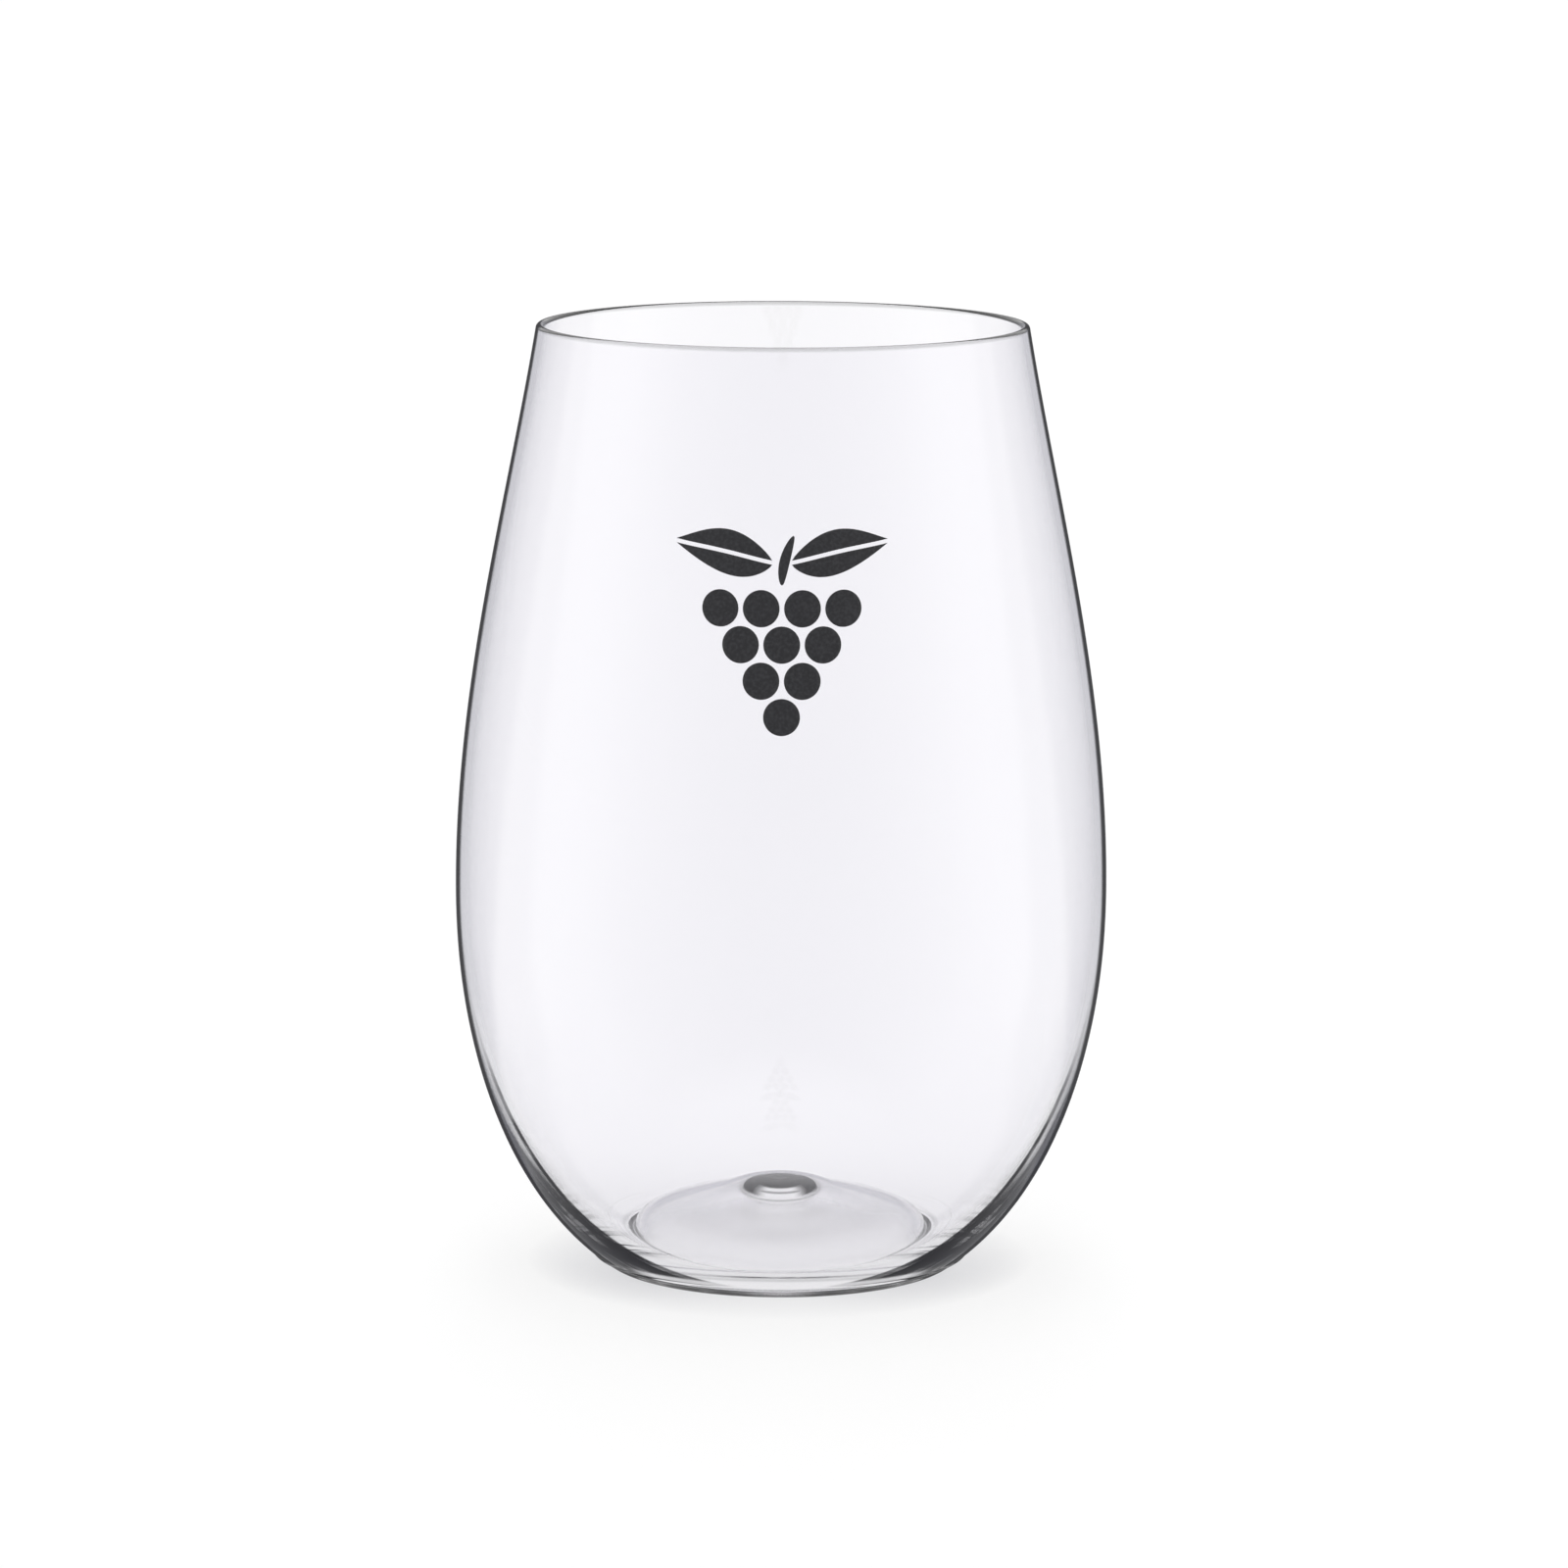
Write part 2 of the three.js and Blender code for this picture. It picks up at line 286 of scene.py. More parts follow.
class Wire:
    """A socket of a node tree. Arithmetic on it adds Math nodes."""

    def __init__(self, socket):
        self.socket = socket

    @staticmethod
    def add(tree, kind, settings=None, values=None, output=0):
        """Adds a node, sets its settings, then its sockets' values or links, and returns one of its outputs."""
        node = tree.nodes.new(kind)
        for name, value in (settings or {}).items():
            if name == "stops":
                for index, (place, tint) in enumerate(value):
                    elements = node.color_ramp.elements
                    stop = elements[index] if index < len(elements) else elements.new(place)
                    stop.position = place
                    stop.color = tint
            else:
                setattr(node, name, value)
        inputs = {each.identifier: each for each in node.inputs} | dict(enumerate(node.inputs))
        for name, value in (values or {}).items():
            if isinstance(value, Wire):
                tree.links.new(value.socket, inputs[name])
            else:
                inputs[name].default_value = value
        outputs = {each.identifier: each for each in node.outputs} | dict(enumerate(node.outputs))
        return Wire(outputs.get(output))

    def maths(self, operation, *others):
        values = dict(enumerate((self, *others)))
        return Wire.add(self.socket.id_data, "ShaderNodeMath", {"operation": operation}, values)

    def reflected(self, operation, other):
        return Wire.add(self.socket.id_data, "ShaderNodeMath", {"operation": operation}, {0: other, 1: self})

    def __add__(self, other):
        return self.maths("ADD", other)

    __radd__ = __add__

    def __sub__(self, other):
        return self.maths("SUBTRACT", other)

    def __rsub__(self, other):
        return self.reflected("SUBTRACT", other)

    def __mul__(self, other):
        return self.maths("MULTIPLY", other)

    __rmul__ = __mul__

    def __pow__(self, other):
        return self.maths("POWER", other)

    def most(self, other):
        """The greater of two values."""
        return self.maths("MAXIMUM", other)

    def step(self, low, high):
        """0 below low, 1 above high, and a smooth rise between."""
        return Wire.add(
            self.socket.id_data,
            "ShaderNodeMapRange",
            {"interpolation_type": "SMOOTHSTEP"},
            {"Value": self, "From Min": low, "From Max": high},
        )


def new_material(name):
    """An empty material and its node tree."""
    material = bpy.data.materials.new(name)
    material.use_nodes = True
    material.node_tree.nodes.clear()
    return material, material.node_tree


def finish_material(tree, surface, volume=None):
    """Joins the shaders to the material's output."""
    ends = {"Surface": surface}
    if volume is not None:
        ends["Volume"] = volume
    Wire.add(tree, "ShaderNodeOutputMaterial", None, ends, None)


def mix_colour(tree, factor, first, second):
    """A blend of two colours by a factor."""
    return Wire.add(
        tree,
        "ShaderNodeMix",
        {"data_type": "RGBA"},
        {"Factor_Float": factor, "A_Color": (*first, 1), "B_Color": (*second, 1)},
        "Result_Color",
    )


def vector_maths(tree, operation, *vectors):
    """A vector, or a number for a length or a product, worked out from vectors."""
    output = "Value" if operation in ("LENGTH", "DOT_PRODUCT") else "Vector"
    return Wire.add(tree, "ShaderNodeVectorMath", {"operation": operation}, dict(enumerate(vectors)), output)


def coordinate(tree, vector, axis):
    """One coordinate of a vector."""
    return Wire.add(tree, "ShaderNodeSeparateXYZ", None, {"Vector": vector}, axis)


def flattened(tree, vector):
    """A vector without its Z."""
    return vector_maths(tree, "MULTIPLY", vector, (1, 1, 0))


def mark(tree, name):
    """A number that the piece's points carry."""
    return Wire.add(tree, "ShaderNodeAttribute", {"attribute_name": name}, None, "Fac")


def facing(tree, normal=None):
    """How squarely the surface, or a given direction, faces the view: 0 edge on, 1 head on."""
    given = {} if normal is None else {"Normal": normal}
    return 1 - Wire.add(tree, "ShaderNodeLayerWeight", None, {"Blend": 0.5} | given, "Facing")


def noise(tree, place, scale, detail):
    """Soft random values at a place."""
    return Wire.add(tree, "ShaderNodeTexNoise", None, {"Vector": place, "Scale": scale, "Detail": detail})


def painted_heel_shade(tree, cosine, along, level):
    """Painted shade for the dark band of a wall seen edge on, as wide as the wall is thick: filled at the heel, a
    line further up.

    Depth grows inwards from the outline and up the wall. A painted gleam lightens it over the mould's seam, and faint
    streaks of painted shade run along the wall."""
    depth = cosine + BAND_CLIMB * level
    fill = 1 - level.step(*BAND_FILL_LEVELS)
    line = depth.step(*BAND_LINE) * (1 - BAND_LINE_FADE * level.step(*BAND_LINE_LEVELS))
    gleam = level.step(*GLEAM_FOOT) * (1 - level.step(*GLEAM_TOP)) * cosine.step(*GLEAM_COSINES)
    by_depth, by_level = STREAK_SCALES
    grain = Wire.add(tree, "ShaderNodeCombineXYZ", None, {"X": by_depth * depth, "Y": by_level * level})
    streak = noise(tree, grain, 1, 2).step(*STREAK_NOISE)
    band = (1 - depth.step(*BAND_END)) * fill.most(line) * (1 - GLEAM_STRENGTH * gleam)
    band = band * (BAND_FRONT + (1 - BAND_FRONT) * along.step(*BAND_TURN))
    return band * (STREAK_FLOOR + (1 - STREAK_FLOOR) * streak)


def painted_pocket_shade(m, radius, level, along):
    """Painted shade where the gate's pocket is dark from inside the plastic: its roof, a ring under a light slit, and
    its sides.
    """
    drop = level - (m.punt_rise + m.pocket_depth)
    near, far = POCKET_EDGE
    within = 1 - radius.step(m.pocket_radius + near, m.pocket_radius + far)
    roof = drop.step(*ROOF_LEVELS) * (ROOF_MIDDLE + (1 - ROOF_MIDDLE) * radius.step(*ROOF_RADII))
    ring = drop.step(*RING_FOOT) * (1 - drop.step(*RING_TOP))
    sides = drop.step(*POCKET_SIDE_LEVELS) * along.step(*POCKET_SIDE_TURN)
    return within * roof.most(sides.most(RING_SHADE * ring))


def clear_plastic(finishes, m):
    """Clear plastic that bends light, with a faint waviness.

    Painted shade darkens it along its outline, in the heel's band, along tight bends and in the gate's pocket,
    standing in for the dark of the room that thick plastic seen edge on mirrors. The underside of the dome is softly
    frosted."""
    material, tree = new_material("clear_plastic")
    place = Wire.add(tree, "ShaderNodeTexCoord", None, None, "Object")
    level = coordinate(tree, place, "Z")
    radius = vector_maths(tree, "LENGTH", flattened(tree, place))
    round_about = vector_maths(tree, "NORMALIZE", vector_maths(tree, "CROSS_PRODUCT", (0, 0, 1), place))
    cosine = facing(tree)
    along = facing(tree, round_about)
    inside = Wire.add(tree, "ShaderNodeNewGeometry", None, None, "Backfacing")
    outer = mark(tree, "outside")

    # Painted shade: the outline, the heel's band and tight bends darken the plastic's colour through the share left
    # clear
    skin = outer * (1 - inside)
    outline = skin * (1 - cosine.step(*OUTLINE_COSINES))
    band = skin * painted_heel_shade(tree, cosine, along, level)
    clear = 1 - outline.most(band).most(BEND_SHADE * mark(tree, "bend"))
    tint = mix_colour(tree, clear * clear, BLACK, finishes.plastic_cast)
    fine = (1 - level.step(*FINE_LEVELS)) * noise(tree, place, FINE_SCALE, 1)
    waves = BROAD_WAVES * noise(tree, place, BROAD_SCALE, 0) + FINE_WAVES * fine
    glass = Wire.add(
        tree,
        "ShaderNodeBsdfPrincipled",
        None,
        {
            "Base Color": tint,
            "Roughness": UNDERSIDE_ROUGHNESS * mark(tree, "underside"),
            "IOR": finishes.plastic_ior,
            "Transmission Weight": 1.0,
            "Normal": Wire.add(tree, "ShaderNodeBump", None, {"Strength": 1, "Distance": 1, "Height": waves}),
        },
    )
    # A near-black shader that is mixed in as painted shade
    dark = Wire.add(
        tree,
        "ShaderNodeBsdfPrincipled",
        None,
        {"Base Color": SHADE_COLOUR, "Roughness": 1.0, "Specular IOR Level": 0.0},
    )
    # Painted shade in the gate's pocket, along the outline and in the heel's band picks the dark shader
    pocket = inside * (1 - outer) * painted_pocket_shade(m, radius, level, along)
    shade = pocket.most((OUTLINE_SHADE * outline).most(BAND_SHADE * band))
    surface = Wire.add(tree, "ShaderNodeMixShader", None, {0: shade, 1: glass, 2: dark})
    volume = Wire.add(
        tree,
        "ShaderNodeVolumeAbsorption",
        None,
        {"Color": (*finishes.plastic_depth_colour, 1), "Density": finishes.plastic_depth},
    )
    finish_material(tree, surface, volume)
    return material


def black_ink(finishes):
    """Screen-printed ink: near black, with a fine mottle in its colour and its shine."""
    material, tree = new_material("black_ink")
    place = Wire.add(tree, "ShaderNodeTexCoord", None, None, "Object")
    mottle = noise(tree, place, MOTTLE_SCALE, 3)
    worn = tuple(MOTTLE_LIGHTENS * part for part in finishes.ink_colour)
    tint = mix_colour(tree, mottle.step(*MOTTLE_NOISE), finishes.ink_colour, worn)
    surface = Wire.add(
        tree,
        "ShaderNodeBsdfPrincipled",
        None,
        {"Base Color": tint, "Roughness": INK_ROUGHNESS + MOTTLE_ROUGHENS * mottle},
    )
    finish_material(tree, surface)
    return material


def bezier(points, t):
    """A cubic curve: (1-t)^3 A + 3(1-t)^2 t B + 3(1-t) t^2 C + t^3 D, for an array of t."""
    a, b, c, d = (np.asarray(p, float) for p in points)
    t = t[:, None]
    return (1 - t) ** 3 * a + 3 * (1 - t) ** 2 * t * b + 3 * (1 - t) * t**2 * c + t**3 * d


def bezier_normal(points, t):
    """Unit vectors square to that curve, to the right of its direction: (dz, -dr) of its derivative."""
    a, b, c, d = (np.asarray(p, float) for p in points)
    t = t[:, None]
    along = (1 - t) ** 2 * (b - a) + 2 * (1 - t) * t * (c - b) + t**2 * (d - c)
    side = np.stack([along[:, 1], -along[:, 0]], 1)
    return side / np.linalg.norm(side, axis=1, keepdims=True)


def reach(start, distance, rise):
    """The point at a distance from another, in a direction that rises by an angle."""
    return (start[0] + distance * math.cos(rise), start[1] + distance * math.sin(rise))


def wall_curves(m):
    """The outside of the wall as two cubic curves, foot to belly and belly to rim."""
    foot = (m.foot_radius, 0)
    belly = (m.belly_radius, m.belly_height)
    rim = (m.rim_radius, m.height - m.rim_wall / 2 * (1 - math.sin(m.rim_lean)))
    lower = (
        foot,
        reach(foot, m.foot_pull, m.foot_slope),
        (m.belly_radius, m.belly_height - m.lower_belly_pull),
        belly,
    )
    upper = (
        belly,
        (m.belly_radius, m.belly_height + m.upper_belly_pull),
        reach(rim, -m.rim_pull, math.pi / 2 + m.rim_lean),
        rim,
    )
    return lower, upper


def moulding_section(m):
    """The half section as points (radius, level), and the numbers of the points at the foot and on top of the lip.

    It starts on the axis in the gate's pocket, runs down the punt to the standing ring, up the outside, over the lip
    as a half circle, down the inside, which is the outside moved in by the wall's thickness, and over the dome."""
    t = np.linspace(0, 1, CURVE_STEPS)
    lower, upper = wall_curves(m)
    roof = m.punt_rise + m.pocket_depth
    turn = np.linspace(np.pi / 2, 0, CORNER_STEPS)
    corner = np.stack([
        m.pocket_radius - m.pocket_corner + m.pocket_corner * np.cos(turn),
        roof - m.pocket_corner + m.pocket_corner * np.sin(turn),
    ], 1)
    pocket_edge = (m.pocket_radius, m.punt_rise)
    punt_edge = (m.foot_radius - m.foot_ring_width, 0)
    punt = bezier((
        pocket_edge,
        reach(pocket_edge, m.crown_pull, -m.crown_slope),
        reach(punt_edge, m.punt_pull, math.pi - m.punt_slope),
        punt_edge,
    ), t)
    outside = np.concatenate([bezier(lower, t), bezier(upper, t)[1:]])

    lower_wall = m.belly_wall + (m.heel_wall - m.belly_wall) * (1 - t) ** 2
    upper_wall = m.belly_wall + (m.rim_wall - m.belly_wall) * t
    inside = np.concatenate([
        bezier(lower, t) - bezier_normal(lower, t) * lower_wall[:, None],
        (bezier(upper, t) - bezier_normal(upper, t) * upper_wall[:, None])[1:],
    ])[::-1]

    side = bezier_normal(upper, np.ones(1))[0]
    along = np.array([-side[1], side[0]])
    centre = outside[-1] - side * m.rim_wall / 2
    sweep = np.linspace(0, np.pi, LIP_STEPS)[1:-1, None]
    lip = centre + m.rim_wall / 2 * (np.cos(sweep) * side + np.sin(sweep) * along)

    crease = (inside[-1][0] - m.trough_width, inside[-1][1] - m.trough_drop)
    hat_foot = (m.pocket_radius + m.hat_wall + m.hat_flare, m.punt_rise + m.dome_wall)
    hat_top = (0, roof + m.pocket_cap)
    dome = bezier((
        crease,
        reach(crease, m.dome_pull, math.pi - m.dome_slope),
        reach(hat_foot, m.crown_pull, -m.crown_slope),
        hat_foot,
    ), t)
    hat = bezier((
        hat_foot,
        reach(hat_foot, m.hat_flare, math.pi - m.crown_slope),
        (m.pocket_radius + m.hat_wall, hat_top[1]),
        hat_top,
    ), t)[1:]
    under = np.concatenate([[(0, roof)], corner, punt])
    points = np.concatenate([under, outside, lip, inside, dome, hat])
    foot = len(under)
    return points, (foot, foot + len(outside) + len(lip) // 2)


def eased_section(m):
    """That section on stations that lie close together in the base and the lip, and three marks of each station.

    In the base each coordinate is averaged over a stretch of the section with a bell of weights, which eases the
    corners. Past the axis the section goes on as its mirror image, so that it stays square to the axis. The mould's
    seam is a bell of the level that is added to the radius. The marks are 1 on the outside, 1 on the underside, and
    up to 1 where shade is painted on tight bends: where the section turns by more than TIGHT_BEND in a millimetre,
    at the pocket's edge and on the lip."""
    points, (foot, top) = moulding_section(m)
    run = np.concatenate([[0], np.cumsum(np.linalg.norm(np.diff(points, axis=0), axis=1))])
    even = np.linspace(0, run[-1], int(run[-1] / SECTION_PITCH))
    radius, level = (np.interp(even, run, v) for v in points.T)
    skin = ((even >= run[foot]) & (even <= run[top])).astype(float)
    under = (even < run[foot] - m.foot_ring_width).astype(float)

    bell_reach = int(3 * m.corner_ease / SECTION_PITCH)
    bell = np.exp(-0.5 * (np.arange(-bell_reach, bell_reach + 1) * SECTION_PITCH / m.corner_ease) ** 2)
    bell /= bell.sum()

    def ease(values, sign):
        start = sign * values[bell_reach:0:-1]
        end = sign * values[-2 : -bell_reach - 2 : -1]
        return np.convolve(np.concatenate([start, values, end]), bell, "valid")

    base = np.clip((BASE_TOP - level) / BASE_FADE, 0, 1)
    radius = base * ease(radius, -1) + (1 - base) * radius
    level = base * ease(level, 1) + (1 - base) * level

    heading = np.unwrap(np.arctan2(np.gradient(level), np.gradient(radius)))
    # The mark of painted shade: tight bends, the pocket's edge and the lip, where the plastic's colour is darkened
    bend = base * np.clip(np.abs(np.gradient(heading)) / SECTION_PITCH * MM - TIGHT_BEND, 0, 1)
    bend[even < run[foot] - MM] = 0
    pocket_edge = np.exp(-(((radius - m.pocket_radius) / POCKET_LINE) ** 2)) * (level < m.punt_rise + POCKET_LINE)
    lip_line = np.clip((level - (m.height - LIP_LINE)) / LIP_LINE_FADE, 0, 1)
    bend += base * pocket_edge + LIP_LINE_SHADE * lip_line

    radius += m.seam_height * skin * np.exp(-(((level - m.seam_level) / m.seam_width) ** 2))
    lip = np.clip((level - (m.height - LIP_HEIGHT)) / LIP_FADE, 0, 1)
    spacing = WALL_SPACING - (WALL_SPACING - BASE_SPACING) * base - (WALL_SPACING - LIP_SPACING) * lip
    density = np.concatenate([[0], np.cumsum(SECTION_PITCH / spacing[1:])])
    stations = np.linspace(0, density[-1], int(density[-1]) + 1)
    radius, level, skin, under, bend = (
        np.interp(stations, density, v) for v in (radius, level, skin, under, bend)
    )
    radius[0] = radius[-1] = 0
    return radius, level, {"outside": skin, "underside": under, "bend": bend}


def mesh_piece(name, points, faces, material):
    """A smooth mesh object of points and faces, at the origin."""
    mesh = bpy.data.meshes.new(name)
    mesh.from_pydata(points.tolist(), [], faces)
    mesh.validate()
    mesh.polygons.foreach_set("use_smooth", np.ones(len(mesh.polygons), bool))
    mesh.materials.append(material)
    piece = bpy.data.objects.new(name, mesh)
    bpy.context.scene.collection.objects.link(piece)
    return piece


def revolve(name, radius, level, sides, material):
    """The section turned about Z: point (i, j) is (r_i sin a_j, -r_i cos a_j, z_i) with a_j = 2 pi j / sides.

    The first and the last station lie on the axis, so each is one point that closes a fan."""
    turn = 2 * np.pi * np.arange(sides) / sides
    r, z = radius[1:-1, None], level[1:-1, None]
    ring = np.stack([r * np.sin(turn), -r * np.cos(turn), z + 0 * turn], 2).reshape(-1, 3)
    points = np.concatenate([[(0, 0, level[0])], ring, [(0, 0, level[-1])]])
    rows = len(radius) - 2
    here = np.arange(sides)
    after = (here + 1) % sides
    base = 1 + np.arange(rows - 1)[:, None] * sides
    quads = np.stack([base + here, base + after, base + sides + after, base + sides + here], 2).reshape(-1, 4)
    last = 1 + (rows - 1) * sides
    first_fan = np.stack([np.zeros(sides, int), 1 + after, 1 + here], 1)
    last_fan = np.stack([last + here, last + after, np.full(sides, len(points) - 1)], 1)
    faces = first_fan.tolist() + quads.tolist() + last_fan.tolist()
    return mesh_piece(name, points, faces, material)


class TUMBLER_OT_moulding(bpy.types.Operator):
    """Build the clear moulding"""

    bl_idname = "tumbler.moulding"
    bl_label = "Clear moulding"

    def execute(self, context):
        sizes = context.scene.tumbler_moulding
        material = clear_plastic(context.scene.tumbler_finishes, sizes)
        radius, level, marks = eased_section(sizes)
        piece = revolve("clear_moulding", radius, level, sizes.sides, material)
        for name, numbers in marks.items():
            values = np.concatenate([numbers[:1], np.repeat(numbers[1:-1], sizes.sides), numbers[-1:]])
            layer = piece.data.attributes.new(name, "FLOAT", "POINT")
            layer.data.foreach_set("value", values.astype(np.float32))
        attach(piece, ROOT)
        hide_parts(BODY_NODE)
        return {"FINISHED"}


def on_wall(m, p, across, up, lift):
    """Places on the print, wrapped on the outside of the wall and lifted square to it.

    up picks the wall's curve parameter by its level, and across is an arc length at that radius."""
    t = np.linspace(0, 1, PRINT_STEPS)
    _, upper = wall_curves(m)
    curve = bezier(upper, t)
    side = bezier_normal(upper, t)
    level = m.height - p.drop + up
    r, dr, dz = (np.interp(level, curve[:, 1], v) for v in (curve[:, 0], side[:, 0], side[:, 1]))
    turn = across / r
    radius = r + dr * lift
    return np.stack([radius * np.sin(turn), -radius * np.cos(turn), level + dz * lift], -1)


def ink_film(name, m, p, left, right, material):
    """A thin closed film between two edges, arrays of (across, up) that meet at both tips.

    Point (i, j) is left_i + (right_i - left_i) j / lanes, placed on the wall once for the back and once for the
    front. The two skins are joined along both edges, and each tip is one point on each skin."""
    lane = np.linspace(0, 1, FILM_LANES + 1)[None, :, None]
    spots = left[:, None] + (right - left)[:, None] * lane
    rows, columns = spots.shape[:2]
    skins = [on_wall(m, p, spots[..., 0], spots[..., 1], lift) for lift in (p.clearance, p.clearance + p.thickness)]
    points = np.concatenate([skin.reshape(-1, 3) for skin in skins])
    number = np.arange(rows * columns).reshape(rows, columns)
    number[0, :] = number[0, 0]
    number[-1, :] = number[-1, 0]
    front = number + rows * columns

    def quads(a, b, c, d):
        return np.stack([a, b, c, d], -1).reshape(-1, 4)

    faces = np.concatenate([
        quads(front[:-1, :-1], front[:-1, 1:], front[1:, 1:], front[1:, :-1]),
        quads(number[:-1, :-1], number[1:, :-1], number[1:, 1:], number[:-1, 1:]),
        quads(number[:-1, 0], front[:-1, 0], front[1:, 0], number[1:, 0]),
        quads(front[:-1, -1], number[:-1, -1], number[1:, -1], front[1:, -1]),
    ])
    used, index = np.unique(faces, return_inverse=True)
    corners = index.reshape(faces.shape).tolist()
    tidy = [list(dict.fromkeys(face)) for face in corners]
    return mesh_piece(name, points[used], [face for face in tidy if len(face) > 2], material)


class TUMBLER_OT_print(bpy.types.Operator):
    """Print the bunch of grapes, its leaves and its stem"""

    bl_idname = "tumbler.print"
    bl_label = "Printed motif"

    def execute(self, context):
        m = context.scene.tumbler_moulding
        p = context.scene.tumbler_print
        material = black_ink(context.scene.tumbler_finishes)
        s = np.linspace(0, 1, FILM_STEPS + 1)
        bell = np.sin(np.pi * s)
        bell[-1] = 0
        pitch = 2 * p.grape_radius + p.gap
        row_pitch = pitch * math.sin(math.pi / 3)
        top = (len(GRAPE_ROWS) - 1) * row_pitch / 2 + p.grape_radius
        films = {}
        for row, count in enumerate(GRAPE_ROWS):
            up = ((len(GRAPE_ROWS) - 1) / 2 - row) * row_pitch - p.grape_radius * np.cos(np.pi * s)
            for column in range(count):
                across = (column - (count - 1) / 2) * pitch
                half = p.grape_radius * bell
                films[f"grape_{row + 1}_{column + 1}"] = (
                    np.stack([across - half, up], 1),
                    np.stack([across + half, up], 1),
                )
        spine = top + p.gap + p.leaf_half_width + p.vein_width / 2
        run = p.stem_width / 2 + p.gap + p.leaf_length * s
        rise = spine + p.leaf_lift * s**2 + p.leaf_arch * bell / 2
        width = np.sin(np.pi * s**LEAF_FULLNESS)
        width[-1] = 0
        for side, hand in (("left", -1), ("right", 1)):
            for name, blade in (("upper", 1), ("lower", -1)):
                vein = np.stack([hand * run, rise + blade * p.vein_width / 2], 1)
                edge = vein + np.stack([0 * s, blade * p.leaf_half_width * width], 1)
                films[f"leaf_{side}_{name}"] = (edge, vein) if hand * blade > 0 else (vein, edge)
        middle = p.stem_lean * s**2
        half = p.stem_width / 2 * bell**0.5
        up = top + p.gap + p.stem_length * s
        films["stem"] = (np.stack([middle - half, up], 1), np.stack([middle + half, up], 1))
        for name, (left, right) in films.items():
            piece = ink_film(f"ink_{name}", m, p, left, right, material)
            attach(piece, ROOT)
            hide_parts(f"print_{name}")
        return {"FINISHED"}


class TUMBLER_OT_studio(bpy.types.Operator):
    """Set the white floor, the soft light and the camera"""

    bl_idname = "tumbler.studio"
    bl_label = "White studio"

    def execute(self, context):
        scene = context.scene
        studio = scene.tumbler_studio
        scene.view_settings.view_transform = "Standard"
        scene.cycles.max_bounces = LIGHT_BOUNCES
        scene.cycles.glossy_bounces = LIGHT_BOUNCES
        scene.cycles.transmission_bounces = LIGHT_BOUNCES
        white_floor()
        white_world(scene)
        camera = bpy.data.cameras.new("camera")
        camera.sensor_width = SENSOR_WIDTH
        camera.lens = SENSOR_WIDTH * studio.camera_focus / PHOTO_SIDE
        eye = bpy.data.objects.new("camera", camera)
        eye.location = (
            -studio.axis_offset * studio.camera_distance / studio.camera_focus,
            -studio.camera_distance,
            studio.camera_height,
        )
        tilt = Matrix.Rotation(math.pi / 2 - studio.camera_pitch, 3, "X")
        eye.rotation_euler = (tilt @ Matrix.Rotation(studio.camera_roll, 3, "Z")).to_euler()
        scene.collection.objects.link(eye)
        scene.camera = eye
        return {"FINISHED"}


def light_path(tree, kind):
    """What is known about the way a ray came."""
    return Wire.add(tree, "ShaderNodeLightPath", None, None, kind)


def mirrored_ray(tree):
    """1 for a ray that a face has mirrored, and 0 for any other."""
    return light_path(tree, "Glossy Depth").step(*MIRRORED_DEPTH)


def room_light(tree, place):
    """How bright the room is to rays that plastic mirrors, by the place or the direction they reach.

    White panels stand to the left and the right, and it is dimmer ahead and behind. Overhead it is white, and so is
    the backdrop from a little above the floor."""
    heading = vector_maths(tree, "NORMALIZE", flattened(tree, place))
    behind = coordinate(tree, heading, "Y")
    stops = [(0.5 + 0.5 * y, (glow, glow, glow, 1)) for y, glow in PANELS]
    panels = Wire.add(tree, "ShaderNodeValToRGB", {"stops": stops}, {"Fac": 0.5 + 0.5 * behind})
    rise = coordinate(tree, place, "Z")
    backdrop = rise.step(*BACKDROP_RISE) * behind.step(*BACKDROP_TURN)
    return panels.most(rise.step(*CEILING_RISE).most(backdrop))


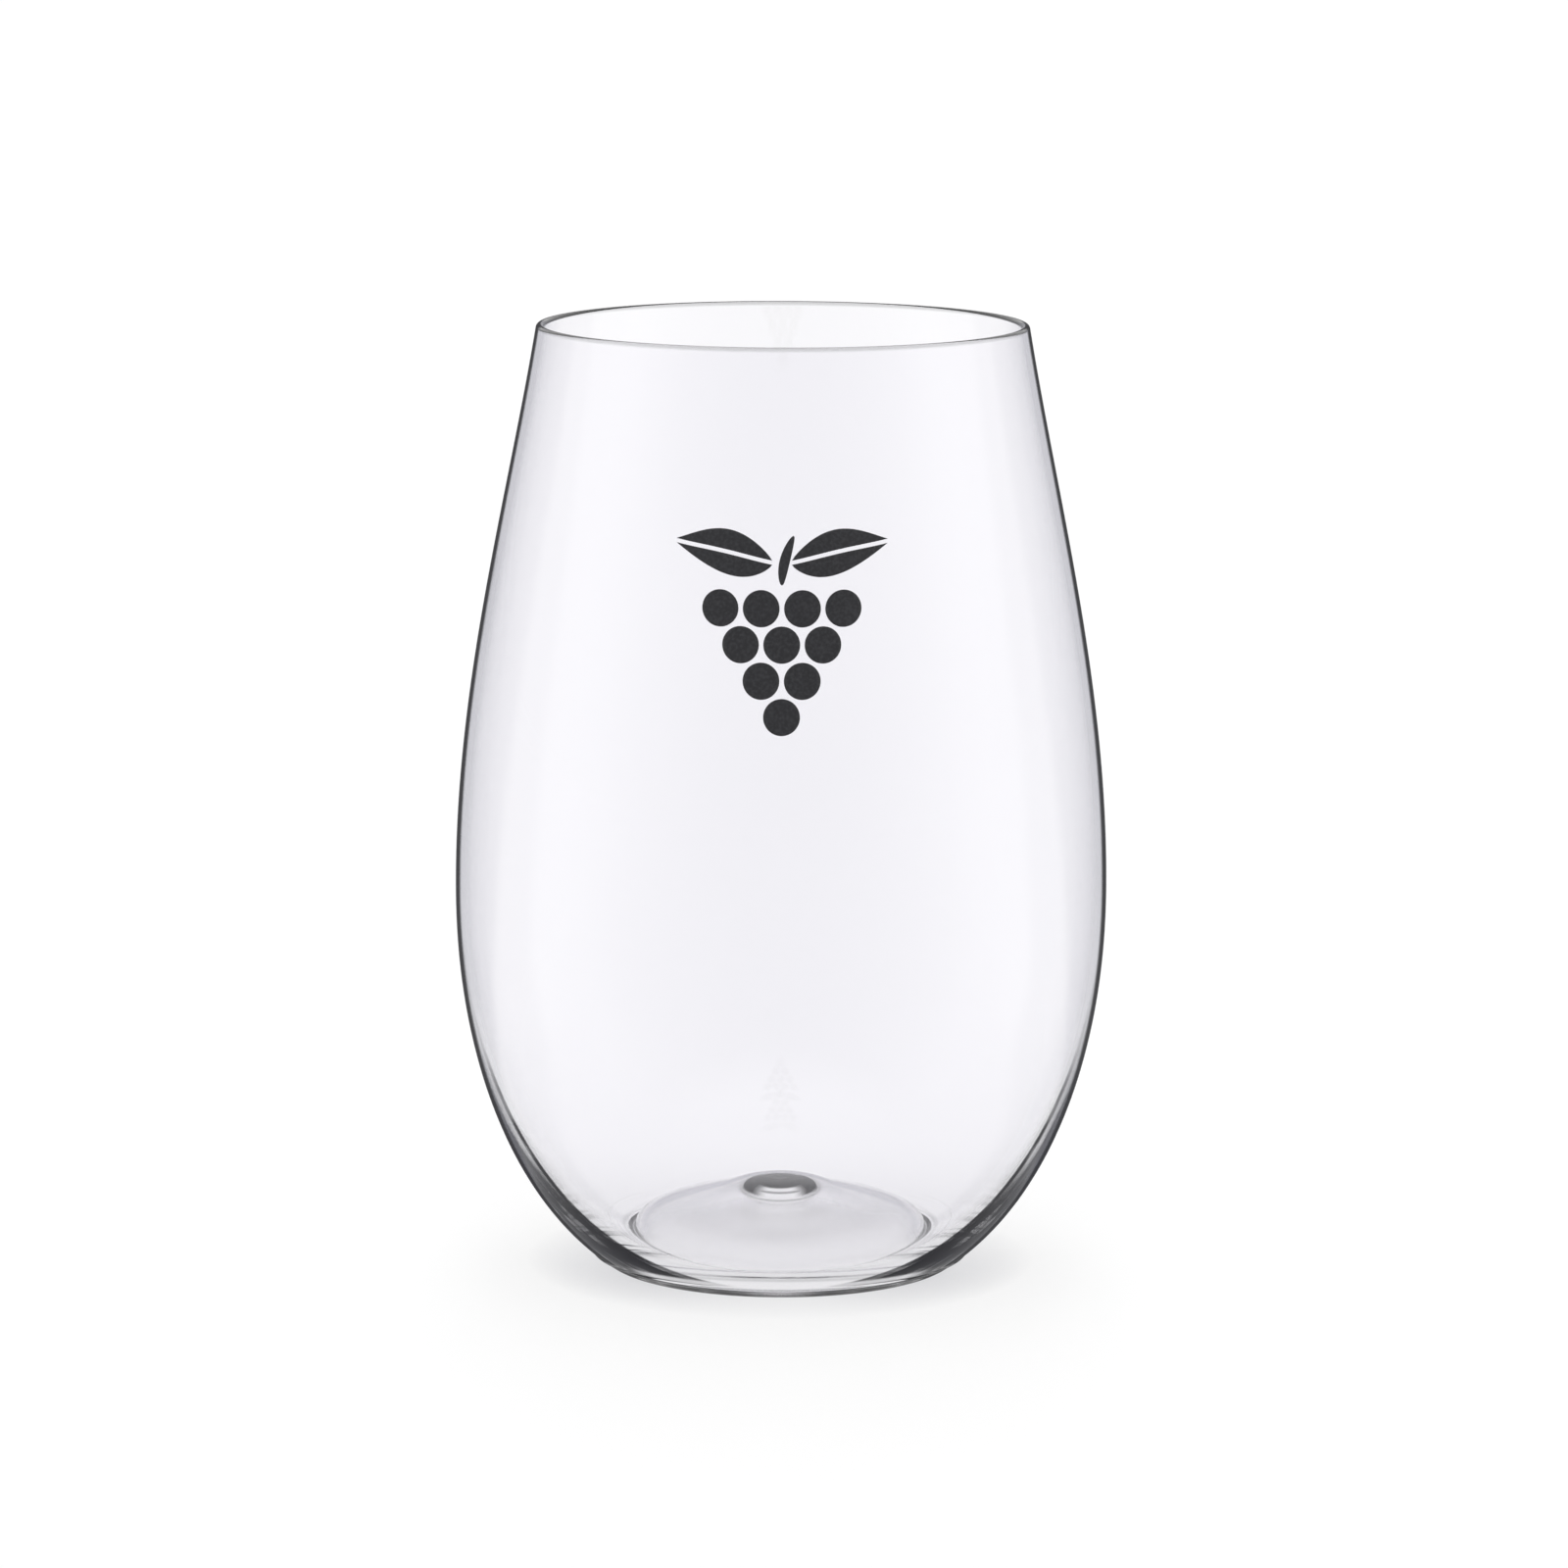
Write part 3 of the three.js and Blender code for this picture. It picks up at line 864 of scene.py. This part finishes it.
def white_floor():
    """A wide white floor just under the cup. Most of its white is its own, so that the cup's shadow stays faint.

    For mirrored rays its colour is painted with the room's light far from the cup and stays full white close by, but
    rays that come straight off a face see only a dim painted reflection there. To the eye a painted contact shadow
    darkens it in the nook under the heel, most at the front left and the front right."""
    material, tree = new_material("white_floor")
    place = Wire.add(tree, "ShaderNodeTexCoord", None, None, "Object")
    radius = vector_maths(tree, "LENGTH", flattened(tree, place))
    room = room_light(tree, place)
    off_face = light_path(tree, "Is Glossy Ray") * light_path(tree, "Is Reflection Ray")
    # Painted reflection: near the foot, rays straight off a face see the floor dimmed
    near = 1 - off_face * radius.step(*FLOOR_FOOT) * (1 - FLOOR_PAINTED_REFLECTION * room)
    far = radius.step(*FLOOR_FAR)
    light = 1 - mirrored_ray(tree) * (1 - (far * room + (1 - far) * near))

    # Painted contact shadow, seen only by the eye, from the ambient occlusion in the nook under the heel
    nook = Wire.add(tree, "ShaderNodeAmbientOcclusion", {"samples": NOOK_SAMPLES}, {"Distance": NOOK_REACH}, "AO")
    heading = vector_maths(tree, "NORMALIZE", place)
    across = coordinate(tree, heading, "X")
    ahead = 0.5 - 0.5 * coordinate(tree, heading, "Y")
    shadow = (NOOK_ALL_ROUND + NOOK_AHEAD * ahead * ahead * across * across) * (1 - nook)
    light = light * (1 - light_path(tree, "Is Camera Ray") * shadow)

    tint = mix_colour(tree, light, DIM_CAST, WHITE)
    lit = Wire.add(tree, "ShaderNodeBsdfDiffuse", None, {"Color": tint})
    even = Wire.add(tree, "ShaderNodeEmission", None, {"Color": tint, "Strength": 1.0})
    finish_material(tree, Wire.add(tree, "ShaderNodeMixShader", None, {0: FLOOR_MATT, 1: even, 2: lit}))
    signs = np.array([(-1, -1), (1, -1), (1, 1), (-1, 1)])
    corners = np.column_stack([FLOOR_HALF * signs, np.full(4, -FLOOR_DROP)])
    floor = mesh_piece("floor", corners, [(0, 1, 2, 3)], material)


def white_world(scene):
    """White to the eye and straight through the plastic, a dimmer room to mirrored rays, a lamp to the matt floor.

    The lamp's light is (1 - x^2)^LAMP_NARROWNESS times the rise towards its tilted top to the power of LAMP_FALL,
    with a faint sky all round."""
    world = bpy.data.worlds.new("white_world")
    world.use_nodes = True
    tree = world.node_tree
    tree.nodes.clear()
    direction = Wire.add(tree, "ShaderNodeTexCoord", None, None, "Generated")
    matt = light_path(tree, "Is Diffuse Ray")
    seen = 1 - mirrored_ray(tree) * (1 - matt) * (1 - room_light(tree, direction))
    top = (0, math.sin(LAMP_TILT), math.cos(LAMP_TILT))
    rise = vector_maths(tree, "DOT_PRODUCT", direction, top).most(0.0)
    across = coordinate(tree, direction, "X")
    lamp = (1 - across * across) ** LAMP_NARROWNESS * rise**LAMP_FALL
    strength = matt * (SKY_STRENGTH + LAMP_STRENGTH * lamp) + (1 - matt)
    tint = mix_colour(tree, seen, DIM_CAST, WHITE)
    background = Wire.add(tree, "ShaderNodeBackground", None, {"Color": tint, "Strength": strength})
    Wire.add(tree, "ShaderNodeOutputWorld", None, {"Surface": background}, None)
    scene.world = world


class TUMBLER_PT_sidebar(bpy.types.Panel):
    """Lists the tumbler's pieces in the sidebar"""

    bl_idname = "TUMBLER_PT_sidebar"
    bl_label = "Stemless tumbler"
    bl_space_type = "VIEW_3D"
    bl_region_type = "UI"
    bl_category = "Tumbler"

    def draw(self, context):
        for operator in (TUMBLER_OT_moulding, TUMBLER_OT_print, TUMBLER_OT_studio):
            self.layout.operator(operator.bl_idname)
        for kind, sizes in GROUPS.items():
            box = self.layout.box()
            for name in sizes.__annotations__:
                box.prop(getattr(context.scene, kind), name)


GROUPS = {
    "tumbler_moulding": MouldingSizes,
    "tumbler_print": PrintSizes,
    "tumbler_finishes": Finishes,
    "tumbler_studio": StudioSizes,
}
CLASSES = (*GROUPS.values(), TUMBLER_OT_moulding, TUMBLER_OT_print, TUMBLER_OT_studio, TUMBLER_PT_sidebar)


def register():
    for each in CLASSES:
        bpy.utils.register_class(each)
    for name, group in GROUPS.items():
        setattr(bpy.types.Scene, name, PointerProperty(type=group))


def unregister():
    for name in GROUPS:
        delattr(bpy.types.Scene, name)
    for each in reversed(CLASSES):
        bpy.utils.unregister_class(each)


def main():
    register()
    bpy.ops.tumbler.studio()
    bpy.ops.tumbler.moulding()
    bpy.ops.tumbler.print()


if __name__ == "__main__":
    main()
